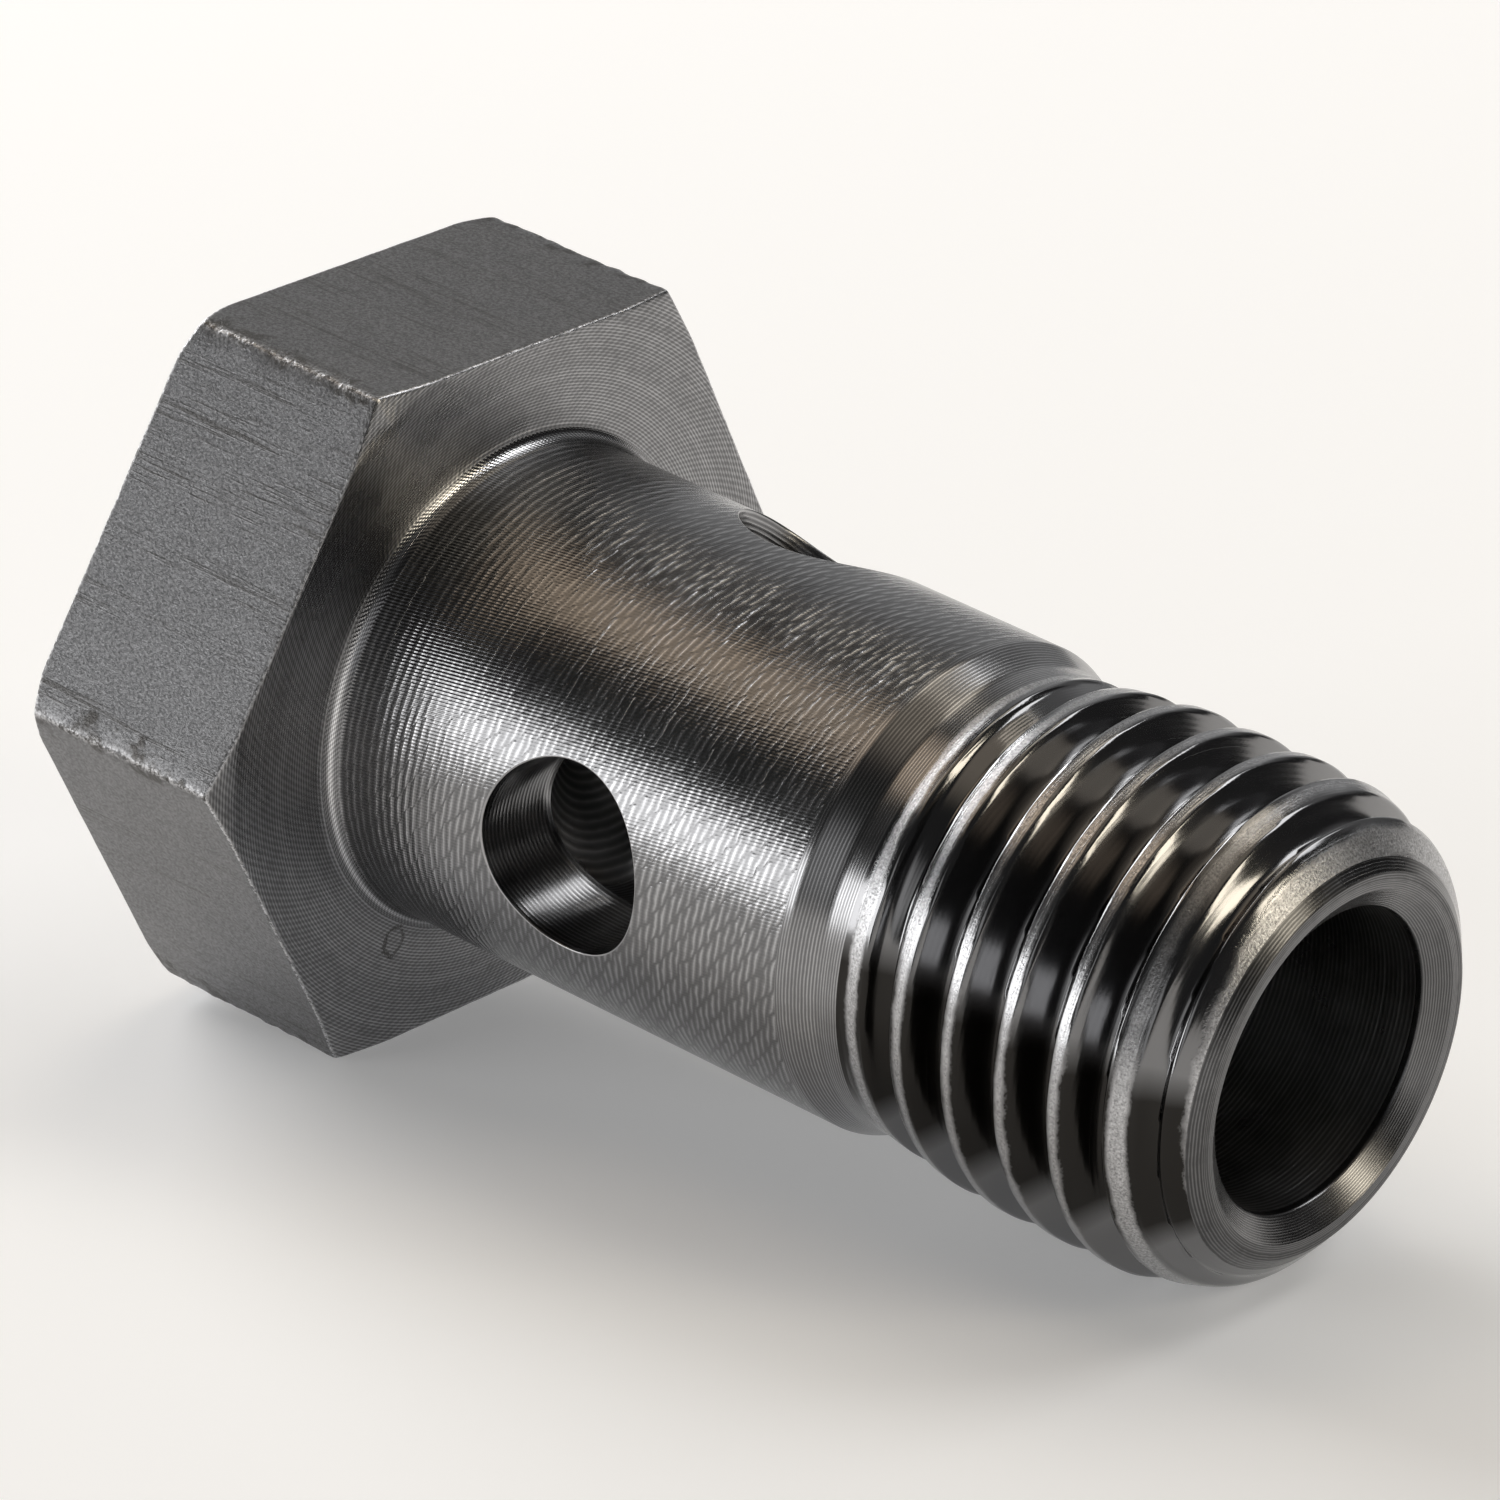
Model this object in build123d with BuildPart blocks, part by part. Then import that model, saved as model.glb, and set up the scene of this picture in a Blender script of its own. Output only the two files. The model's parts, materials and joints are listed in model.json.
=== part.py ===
"""Banjo bolt: a hexagon head bolt that also carries fluid.

One turned piece with a rolled thread. A blind bore runs in from the threaded
end, and cross holes join it to the banjo fitting that is clamped under the
head. The bolt lies as it comes to rest, on the lower flat of its head and on
its thread, on the surface z = 0. It is made upright, head down, with its axis
on Z and its seat at zero, and laid down last. Sizes are in millimetres, and
stations are measured from the seat to the threaded end.
"""
from build123d import *
from math import atan2, cos, floor, radians, sin, tan
import os

# Head
across_flats = 17.0
head_height = 6.0
seat_past_flats = 0.575  # how far the flat seat reaches out past the flats, at the corners
seat_chamfer_angle = 14.0  # from the plane of the seat
crown_past_flats = 0.85  # the same for the flat top of the head
crown_chamfer_angle = 30.0  # from the plane of the top

# Shank inside the banjo fitting, and the narrower stretch left unthreaded
shank_below_crests = 0.055  # so that the fitting slides over shank and thread alike
shank_length = 13.8
seat_fillet = 0.5
shoulder_length = 0.75
relief_below_crests = 0.38
relief_length = 0.9

# Thread, right-handed, with crests that are lower where it starts and ends
thread_diameter = 11.96
thread_length = 9.12  # from the relief to the end of the bolt
thread_pitch = 1.5
flank_angle = 30.0  # from the plane across the axis
crest_width = 0.3
root_width = 0.16
first_crest_from_relief = 1.24  # to the first crest in line with the top flat
run_in_lead = 0.2  # the crests start to rise this far before the relief ends
run_in_length = 2.6  # and are at full height after this length
root_run_in_length = 1.2  # the roots sink to full depth over this length
run_out_length = 2.35  # the crests sink again over this length before the end
run_out_drop = 0.75  # what they would lose in radius over that length

# Fluid passages
bore_diameter = 7.2
bore_past_holes = 0.54  # the bore's straight wall runs this far past the cross holes
drill_point_angle = 118.0
countersink_width = 0.575
countersink_angle = 110.0
cross_hole_diameter = 4.62
cross_hole_count = 3
cross_hole_past_middle = 0.15  # from the middle of the shank towards the thread
cross_hole_turn = 30.0  # from the flat that lies on top, so that each hole faces a corner

# Threaded end
end_land_width = 0.35  # flat ring between the countersink and the end chamfer
end_chamfer_angle = 51.0  # from the axis

# Radii
flat_radius = across_flats / 2
seat_radius = flat_radius + seat_past_flats
crown_radius = flat_radius + crown_past_flats
thread_radius = thread_diameter / 2
shank_radius = thread_radius - shank_below_crests
relief_radius = thread_radius - relief_below_crests
bore_radius = bore_diameter / 2
countersink_radius = bore_radius + countersink_width
end_face_radius = countersink_radius + end_land_width

# Thread form, and the slopes of its run-in and run-out
half_tooth = (thread_pitch - root_width) / 2
flank_slope = tan(radians(flank_angle))
thread_depth = (half_tooth - crest_width / 2) / flank_slope
root_radius = thread_radius - thread_depth
run_in_slope = relief_below_crests / run_in_length
run_out_slope = run_out_drop / run_out_length
end_chamfer_slope = tan(radians(end_chamfer_angle))

# Stations and depths
relief_start = shank_length + shoulder_length
relief_end = relief_start + relief_length
first_crest = relief_end + first_crest_from_relief
bolt_end = relief_end + thread_length
run_out_start = bolt_end - run_out_length
cross_hole_station = shank_length / 2 + cross_hole_past_middle
bore_floor = cross_hole_station - cross_hole_diameter / 2 - bore_past_holes
drill_point_depth = bore_radius / tan(radians(drill_point_angle / 2))
countersink_depth = countersink_width / tan(radians(countersink_angle / 2))

# Cutting tools reach past the bolt, and the swept thread into it, by these amounts
past_corner = 1.0
past_crest = 1.0
past_end = thread_pitch
into_core = 0.12
into_relief = 0.4

# Resting pose: the seat's lower edge and the last full crest below touch the surface
crests_to_run_out = floor((run_out_start - first_crest) / thread_pitch - 0.5)
touching_crest = first_crest + (crests_to_run_out + 0.5) * thread_pitch + crest_width / 2
tilt = atan2(flat_radius - thread_radius, touching_crest)
reach_behind = head_height * cos(tilt) + crown_radius * sin(tilt)
reach_ahead = bolt_end * cos(tilt) + end_face_radius * sin(tilt)
resting_plane = Plane(
    origin=((reach_behind - reach_ahead) / 2, 0, flat_radius * cos(tilt)),
    x_dir=(sin(tilt), 0, cos(tilt)),
    z_dir=(cos(tilt), 0, -sin(tilt)),
)

# Half plane opposite the top flat, in which the turned profiles are drawn: radius, then station
profile_plane = Plane(origin=(0, 0, 0), x_dir=(-1, 0, 0), z_dir=(0, 1, 0))

# Thread ridge: one tooth swept round the axis, from inside the shank to past the end
ridge_start = first_crest - 2 * thread_pitch
core_end = bolt_end + past_end
trim_end = core_end + past_end
trim_radius = thread_radius + past_crest

with BuildPart() as ridge:
    with BuildLine():
        root_helix = Helix(
            pitch=thread_pitch,
            height=core_end - ridge_start,
            radius=root_radius,
            center=(0, 0, ridge_start),
        )
    with BuildSketch(Plane.XZ):
        with Locations((0, ridge_start)):
            Polygon(
                (root_radius - into_core, -half_tooth - flank_slope * into_core),
                (thread_radius, -crest_width / 2),
                (thread_radius, crest_width / 2),
                (root_radius - into_core, half_tooth + flank_slope * into_core),
                align=None,
            )
    sweep(path=root_helix.edge(), is_frenet=True)

    # The crests rise from the relief and sink again towards the end
    run_in_start = relief_end - run_in_lead
    with BuildSketch(profile_plane):
        Polygon(
            (0, run_in_start - into_relief),
            (relief_radius - into_relief * run_in_slope, run_in_start - into_relief),
            (trim_radius, run_in_start + (trim_radius - relief_radius) / run_in_slope),
            (trim_radius, run_out_start - past_crest / run_out_slope),
            (thread_radius - (trim_end - run_out_start) * run_out_slope, trim_end),
            (0, trim_end),
            align=None,
        )
    revolve(axis=Axis.Z, mode=Mode.INTERSECT)

with BuildPart() as bolt:
    # Hexagon head, with its corners turned off on both sides
    corner_radius = flat_radius / cos(radians(30)) + past_corner
    seat_cut = (corner_radius - seat_radius) * tan(radians(seat_chamfer_angle))
    crown_cut = (corner_radius - crown_radius) * tan(radians(crown_chamfer_angle))
    with BuildSketch():
        RegularPolygon(radius=flat_radius, side_count=6, major_radius=False, rotation=30)
    extrude(amount=-head_height)
    with BuildSketch(profile_plane):
        Polygon(
            (0, -head_height),
            (crown_radius, -head_height),
            (corner_radius, crown_cut - head_height),
            (corner_radius, -seat_cut),
            (seat_radius, 0),
            (0, 0),
            align=None,
        )
    revolve(axis=Axis.Z, mode=Mode.INTERSECT)

    # Shank, relief and thread core, turned in one profile
    with BuildSketch(profile_plane):
        with BuildLine():
            fillet_arc = RadiusArc(
                (shank_radius, seat_fillet), (shank_radius + seat_fillet, 0), seat_fillet
            )
            Polyline(
                fillet_arc @ 0,
                (shank_radius, shank_length),
                (relief_radius, relief_start),
                (relief_radius, relief_end),
                (root_radius, relief_end + root_run_in_length),
                (root_radius, core_end),
                (0, core_end),
                (0, -head_height / 2),
                (shank_radius + seat_fillet, -head_height / 2),
                fillet_arc @ 1,
            )
        make_face()
    revolve(axis=Axis.Z)
    add(ridge.part)

    # Threaded end, cut to length with its chamfer
    with BuildSketch(profile_plane):
        Polygon(
            (0, bolt_end),
            (end_face_radius, bolt_end),
            (trim_radius, bolt_end - (trim_radius - end_face_radius) / end_chamfer_slope),
            (trim_radius, trim_end),
            (0, trim_end),
            align=None,
        )
    revolve(axis=Axis.Z, mode=Mode.SUBTRACT)

    # Blind bore with its drill point and countersink
    with BuildSketch(profile_plane):
        Polygon(
            (0, bore_floor - drill_point_depth),
            (bore_radius, bore_floor),
            (bore_radius, bolt_end - countersink_depth),
            (countersink_radius, bolt_end),
            (countersink_radius, core_end),
            (0, core_end),
            align=None,
        )
    revolve(axis=Axis.Z, mode=Mode.SUBTRACT)

    # Cross holes, drilled from the shank into the bore
    for index in range(cross_hole_count):
        turn = cross_hole_turn + index * 360 / cross_hole_count
        outward = Vector(1, 0, 0).rotate(Axis.Z, -turn)
        with BuildSketch(Plane(origin=(0, 0, cross_hole_station), z_dir=outward)):
            Circle(cross_hole_diameter / 2)
        extrude(amount=shank_radius + past_crest, mode=Mode.SUBTRACT)

with BuildPart() as resting_bolt:
    with Locations(resting_plane):
        add(bolt.part)

resting_bolt.part.label = "banjo_bolt"
os.makedirs("parts", exist_ok=True)
export_step(resting_bolt.part, "parts/banjo_bolt.step")
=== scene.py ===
"""Banjo bolt: the dressed model, its finishes and its stage.

The bolt is one turned piece. Its mesh is made in the bolt's own frame, in
millimetres: X and Y across the bolt, Z along it from the seat under the head
to the threaded end. It is then laid where the frame has it, in metres.
"""

import json
import math

import bpy
import numpy as np
from bpy.props import FloatProperty, FloatVectorProperty, PointerProperty
from mathutils import Matrix, Vector


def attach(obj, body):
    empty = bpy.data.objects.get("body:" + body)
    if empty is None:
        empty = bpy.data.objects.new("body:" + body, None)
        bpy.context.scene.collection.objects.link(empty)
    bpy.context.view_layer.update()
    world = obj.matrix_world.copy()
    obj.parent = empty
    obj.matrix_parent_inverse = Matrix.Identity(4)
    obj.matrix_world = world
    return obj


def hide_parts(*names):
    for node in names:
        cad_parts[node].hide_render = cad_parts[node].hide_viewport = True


bl_info = {
    "name": "Banjo bolt",
    "version": (1, 0, 0),
    "blender": (4, 5, 0),
    "location": "3D View > Sidebar > Banjo bolt",
    "description": "Makes a hexagon head banjo bolt with its finishes, and the stage it lies on",
    "category": "Object",
}

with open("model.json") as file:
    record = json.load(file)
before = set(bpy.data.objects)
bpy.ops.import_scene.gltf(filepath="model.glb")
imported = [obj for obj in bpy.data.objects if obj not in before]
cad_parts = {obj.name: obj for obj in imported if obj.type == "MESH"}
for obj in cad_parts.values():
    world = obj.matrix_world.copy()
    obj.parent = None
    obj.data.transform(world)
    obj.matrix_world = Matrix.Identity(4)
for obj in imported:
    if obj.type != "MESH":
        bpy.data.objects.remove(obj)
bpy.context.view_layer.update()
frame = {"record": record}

MM = 0.001
MOUNTS = {mount["name"]: mount for mount in frame["record"]["mounts"]}

# Place of the bolt, from the mounts of the frame
AXIS = Vector(MOUNTS["thread"]["axis"]).normalized()
END_CENTRE = Vector(MOUNTS["thread"]["pos_m"])
SEAT_POINT = Vector(MOUNTS["seat"]["pos_m"])
SEAT_CENTRE = END_CENTRE + AXIS * (SEAT_POINT - END_CENTRE).dot(AXIS)
TOP = (SEAT_POINT - SEAT_CENTRE).normalized()
SIDE = AXIS.cross(TOP)
LAID_DOWN = np.array([TOP, SIDE, AXIS])

# Sizes in millimetres, and slopes, that stay as they are
SEAT_PAST_FLATS = 0.575
SEAT_CHAMFER = math.tan(math.radians(14))
CROWN_PAST_FLATS = 0.85
CROWN_CHAMFER = math.tan(math.radians(30))
CORNER_ROUND = 0.15
EDGE_SOFTNESS = 0.045
SEAT_FILLET = 0.5
SHOULDER_LENGTH = 0.75
RELIEF_BELOW_CRESTS = 0.38
RELIEF_LENGTH = 0.9
CREST_WIDTH = 0.34
ROOT_WIDTH = 0.16
FLANK = math.tan(math.radians(30))
FIRST_CREST_FROM_RELIEF = 1.24
RUN_IN_LEAD = 0.2
RUN_IN_LENGTH = 2.6
ROOT_RUN_IN_LENGTH = 1.2
RUN_OUT_LENGTH = 2.35
RUN_OUT_DROP = 0.75
CREST_SOFTNESS = 0.07
ROOT_SOFTNESS = 0.32
CHAMFER_SOFTNESS = 0.2
COUNTERSINK_WIDTH = 0.575
COUNTERSINK_SLOPE = math.tan(math.radians(55))
END_LAND_WIDTH = 0.35
END_CHAMFER = math.tan(math.radians(51))
DRILL_POINT = math.tan(math.radians(59))
BORE_PAST_HOLES = 0.54
CROSS_HOLE_TURNS = (-30, -150, 90)
CROSS_HOLE_PAST_MIDDLE = 0.15
HOLE_EDGE = 0.05

# Wear of the head, in millimetres
EDGE_REACH = 0.07
EDGE_WEAR = 0.008
CORNER_REACH = 0.16
CORNER_WEAR = 0.022

# Stretches of the mesh, in millimetres from the place where the next one starts
RELIEF_STOPS_BEFORE = 0.34
THREAD_STARTS_BEFORE = 0.28
THREAD_STOPS_BEFORE = 0.24
COUNTERSINK_RUNS_ON = 0.3

# Spacing of the mesh: counts, and lengths in millimetres
CROWN_RINGS = (1.2, 2.4, 3.6, 4.8, 5.9, 6.9)
SEAT_RINGS = (7.35, 7.1, 6.85, 6.65)
PLAIN_COLUMNS = 228
CORNER_COLUMNS = (-0.45, -0.2, 0.2, 0.45)
THREAD_ROW = 0.066
FLAT_ROWS = 26
PATCH_ROWS = 26
PATCH_HALF_LENGTH = 2.6
PATCH_HALF_TURN = 30
WALL_ROWS = 14
TEXTURE_LENGTH = 40


def bolt_size(name, description, millimetres):
    """A length of the bolt, with its default."""
    return FloatProperty(
        name=name, description=description, unit="LENGTH", precision=5, default=millimetres * MM)


class BoltSizes(bpy.types.PropertyGroup):
    """Sizes of the bolt"""

    across_flats: bolt_size(
        "Across flats", "Width of the hexagon", MOUNTS["hexagon"]["dims"]["r_mm"] * 2)
    head_height: bolt_size(
        "Head height", "Height of the head above its seat", MOUNTS["hexagon"]["dims"]["length_mm"])
    shank_diameter: bolt_size(
        "Shank diameter", "Diameter of the smooth shank", MOUNTS["shank"]["dims"]["r_mm"] * 2)
    shank_length: bolt_size(
        "Shank length", "From the seat to the shoulder",
        MOUNTS["shank"]["dims"]["length_mm"] + SEAT_FILLET)
    thread_diameter: bolt_size(
        "Thread diameter", "Diameter over the thread crests", MOUNTS["thread"]["dims"]["r_mm"] * 2)
    thread_pitch: bolt_size("Thread pitch", "Distance from crest to crest", 1.5)
    thread_length: bolt_size(
        "Thread length", "From the relief to the end", MOUNTS["thread"]["dims"]["length_mm"])
    bore_diameter: bolt_size(
        "Bore diameter", "Diameter of the blind bore", MOUNTS["bore"]["dims"]["r_mm"] * 2)
    cross_hole_diameter: bolt_size(
        "Cross hole diameter", "Diameter of the holes through the shank", 4.62)


class BoltFinish(bpy.types.PropertyGroup):
    """Colours and finish of the steel"""

    steel: FloatVectorProperty(
        name="Steel", description="Colour of the bare steel",
        subtype="COLOR", size=3, min=0, max=1, default=(0.288, 0.288, 0.294),
    )
    # Dark of scuffs, drawn lines and the seat's scar, and also the painted shade on one side of the
    # thread
    grime_and_shade: FloatVectorProperty(
        name="Grime", description="Colour of the dull film in the marks",
        subtype="COLOR", size=3, min=0, max=1, default=(0.075, 0.071, 0.067),
    )
    mark_depth: FloatProperty(
        name="Depth of the marks", description="Scale of the tool marks and grain",
        subtype="FACTOR", min=0, max=3, default=1,
    )


class StageSettings(bpy.types.PropertyGroup):
    """Floor and lamps"""

    floor: FloatVectorProperty(
        name="Floor", description="Colour of the floor",
        subtype="COLOR", size=3, min=0, max=1, default=(0.86, 0.86, 0.86),
    )
    lamp_strength: FloatProperty(
        name="Lamp strength", description="Scale of all the lamps",
        subtype="FACTOR", min=0, max=10, default=1,
    )


# Shape of the bolt


def smooth_min(a, b, width):
    """The lower of two heights, with the corner between them rounded."""
    blend = np.clip(width - np.abs(a - b), 0, None) / width
    return np.minimum(a, b) - blend * blend * width / 4


def smooth_max(a, b, width):
    """The higher of two heights, with the corner between them rounded."""
    return -smooth_min(-a, -b, width)


def column_angles():
    """Angles of the mesh columns round the bolt, closer together at the hexagon's corners."""
    plain = np.arange(PLAIN_COLUMNS) * 360 / PLAIN_COLUMNS
    corners = [30 + 60 * index + offset for index in range(6) for offset in CORNER_COLUMNS]
    return np.radians(np.sort(np.concatenate([plain, corners])))


def hexagon_radius(angles, flat):
    """Distance from the axis to the hexagon with rounded corners."""
    sector = math.radians(60)
    from_flat = np.abs((angles + sector / 2) % sector - sector / 2)
    from_corner = sector / 2 - from_flat
    side = flat / np.cos(from_flat)
    centre = (flat - CORNER_ROUND) / math.cos(sector / 2)
    inside = np.maximum(CORNER_ROUND**2 - (centre * np.sin(from_corner)) ** 2, 0)
    return np.minimum(side, centre * np.cos(from_corner) + np.sqrt(inside) + (inside == 0) * flat)


def softened(points, softness, samples):
    """Points at the sample distances along a line whose corners are rounded."""
    steps = np.hypot(*np.diff(points, axis=0).T)
    distance = np.concatenate([[0], np.cumsum(steps)])
    total = np.zeros((len(samples), 2))
    weights = 0
    for offset in np.linspace(-2.5, 2.5, 11):
        weight = math.exp(-offset * offset / 2)
        at = np.clip(samples + offset * softness, 0, distance[-1])
        total += weight * np.stack([np.interp(at, distance, points[:, k]) for k in (0, 1)], 1)
        weights += weight
    return total / weights


def rounded_line(points, radii):
    """A line of (radius, station) points whose corners are rounded, each by its own radius."""
    made = [points[0]]
    for before, corner, after, radius in zip(points, points[1:], points[2:], radii):
        before, corner, after = (np.array(p, float) for p in (before, corner, after))
        into = (corner - before) / np.linalg.norm(corner - before)
        out = (after - corner) / np.linalg.norm(after - corner)
        turn = math.acos(np.clip(into @ out, -1, 1))
        reach = radius * math.tan(turn / 2)
        for t in np.linspace(0, 1, 5):
            made.append((1 - t) ** 2 * (corner - into * reach) + 2 * t * (1 - t) * corner
                        + t * t * (corner + out * reach))
    made.append(points[-1])
    return np.array(made, float)


def divided(points, longest):
    """The same line with its long steps cut into short ones."""
    made = [points[0]]
    for start, end in zip(points, points[1:]):
        count = max(1, math.ceil(np.linalg.norm(end - start) / longest))
        made += [start + (end - start) * (k + 1) / count for k in range(count)]
    return np.array(made)


class BoltShape:
    """All the stations and radii of the bolt, in millimetres, and its thread."""

    def __init__(self, sizes):
        self.flat = sizes.across_flats / MM / 2
        self.head = sizes.head_height / MM
        self.shank = sizes.shank_diameter / MM / 2
        self.shank_end = sizes.shank_length / MM
        self.crest = sizes.thread_diameter / MM / 2
        self.pitch = sizes.thread_pitch / MM
        self.bore = sizes.bore_diameter / MM / 2
        self.hole = sizes.cross_hole_diameter / MM / 2
        self.relief = self.crest - RELIEF_BELOW_CRESTS
        self.relief_start = self.shank_end + SHOULDER_LENGTH
        self.relief_end = self.relief_start + RELIEF_LENGTH
        self.end = self.relief_end + sizes.thread_length / MM
        self.first_crest = self.relief_end + FIRST_CREST_FROM_RELIEF
        self.half_tooth = (self.pitch - ROOT_WIDTH) / 2
        self.root = self.crest - (self.half_tooth - CREST_WIDTH / 2) / FLANK
        self.hole_station = self.shank_end / 2 + CROSS_HOLE_PAST_MIDDLE
        self.bore_floor = self.hole_station - self.hole - BORE_PAST_HOLES
        self.countersink = self.bore + COUNTERSINK_WIDTH
        self.end_face = self.countersink + END_LAND_WIDTH
        self.patch_start = self.hole_station - PATCH_HALF_LENGTH
        self.patch_end = self.hole_station + PATCH_HALF_LENGTH

    def thread_radius(self, station, angle):
        """Radius of the threaded stretch, with its run-in, run-out and end chamfer."""
        turns = (station - self.first_crest) / self.pitch - angle / (2 * math.pi)
        from_crest = np.abs(turns - np.round(turns)) * self.pitch
        tooth = self.crest - (from_crest - CREST_WIDTH / 2) / FLANK
        run_in = self.relief + RELIEF_BELOW_CRESTS / RUN_IN_LENGTH * (
            station - self.relief_end + RUN_IN_LEAD)
        run_out = self.crest - RUN_OUT_DROP / RUN_OUT_LENGTH * (station - self.end + RUN_OUT_LENGTH)
        top = smooth_min(smooth_min(self.crest, run_in, 0.06), run_out, 0.06)
        tooth = smooth_min(tooth, top, CREST_SOFTNESS)
        sunk = np.clip((station - self.relief_end) / ROOT_RUN_IN_LENGTH, 0, 1)
        core = self.relief + (self.root - self.relief) * sunk
        softness = 0.01 + (ROOT_SOFTNESS - 0.01) * sunk
        chamfer = self.end_face + (self.end - station) * END_CHAMFER
        return smooth_min(smooth_max(tooth, core, softness), chamfer, CHAMFER_SOFTNESS)

    def thread_normals(self, station, angle):
        """Outward normals of the threaded stretch."""
        step = 1e-4
        radius = self.thread_radius(station, angle)
        along, around = (
            (self.thread_radius(station + ds, angle + da)
             - self.thread_radius(station - ds, angle - da)) / (2 * step)
            for ds, da in ((step, 0), (0, step)))
        normal = np.stack([
            radius * np.cos(angle) + around * np.sin(angle),
            radius * np.sin(angle) - around * np.cos(angle),
            -radius * along], 1)
        return normal / np.linalg.norm(normal, axis=1, keepdims=True)


class MeshMaker:
    """Gathers points, faces, finishes and texture places of one closed mesh."""

    def __init__(self, angles):
        self.angles = angles
        self.columns = len(angles)
        self.points = []
        self.count = 0
        self.faces = []
        self.finishes = []
        self.places = []
        self.given_normals = {}
        self.edges = []

    def add_points(self, points, normals=None, edge=0):
        """Adds points, with their normals where these are known, and returns their numbers."""
        points = np.asarray(points, float).reshape(-1, 3)
        numbers = np.arange(self.count, self.count + len(points))
        self.points.append(points)
        self.edges.append(np.broadcast_to(edge, len(points)))
        self.count += len(points)
        if normals is not None:
            self.given_normals.update(zip(numbers.tolist(), normals))
        return numbers

    def add_ring(self, radius, station, edge=0, normals=None):
        """Adds one ring round the axis."""
        radius = np.broadcast_to(radius, self.angles.shape)
        station = np.broadcast_to(station, self.angles.shape)
        points = np.stack([radius * np.cos(self.angles), radius * np.sin(self.angles), station], 1)
        return self.add_points(points, normals, edge)

    def add_face(self, corners, finish, places):
        """Adds one face with its finish and the texture place of each corner."""
        self.faces.append([int(c) for c in corners])
        self.finishes.append(finish)
        self.places += places

    def sectors(self):
        """Each column with the next one, and the texture places of the two."""
        for column in range(self.columns):
            after = (column + 1) % self.columns
            yield (column, after, self.angles[column] / (2 * math.pi),
                   self.angles[after] / (2 * math.pi) + (after == 0))

    def join_rings(self, first, second, finish, lengths, keep):
        """Adds the faces between two rings; keep says which columns get one."""
        for column, after, u0, u1 in self.sectors():
            if keep[column]:
                self.add_face(
                    (first[column], first[after], second[after], second[column]), finish,
                    [(u0, lengths[0]), (u1, lengths[0]), (u1, lengths[1]), (u0, lengths[1])])

    def join_loops(self, first, second, finish, first_places, second_places):
        """Adds the faces between two closed loops of as many points."""
        count = len(first)
        for index in range(count):
            after = (index + 1) % count
            self.add_face(
                (first[index], first[after], second[after], second[index]), finish,
                [first_places[index], first_places[index + 1],
                 second_places[index + 1], second_places[index]])

    def close(self, ring, point, finish, length, at_start):
        """Adds the fan of triangles between a ring and a point on the axis."""
        for column, after, u0, u1 in self.sectors():
            if at_start:
                corners = (point, ring[after], ring[column])
                places = [((u0 + u1) / 2, 0), (u1, length), (u0, length)]
            else:
                corners = (ring[column], ring[after], point)
                places = [(u0, 0), (u1, 0), ((u0 + u1) / 2, length)]
            self.add_face(corners, finish, places)


# Numbers of the finishes, which are also the places of their materials on the mesh
(BLASTED, TURNED_SEAT, TURNED_SHANK, PLAIN_RELIEF, ROLLED_THREAD,
 END_CHAMFERED, COUNTERSUNK, BORED, CROSS_DRILLED, FILLETED) = range(10)


def ragged(positions, seed, spacing):
    """Seeded random heights from -1 to 1 at the given positions, joined smoothly."""
    heights = np.random.default_rng(seed).uniform(-1, 1, 400)
    at = positions / spacing + 100
    low = np.floor(at).astype(int)
    share = at - low
    share = share * share * (3 - 2 * share)
    return heights[low % 400] * (1 - share) + heights[(low + 1) % 400] * share


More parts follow.
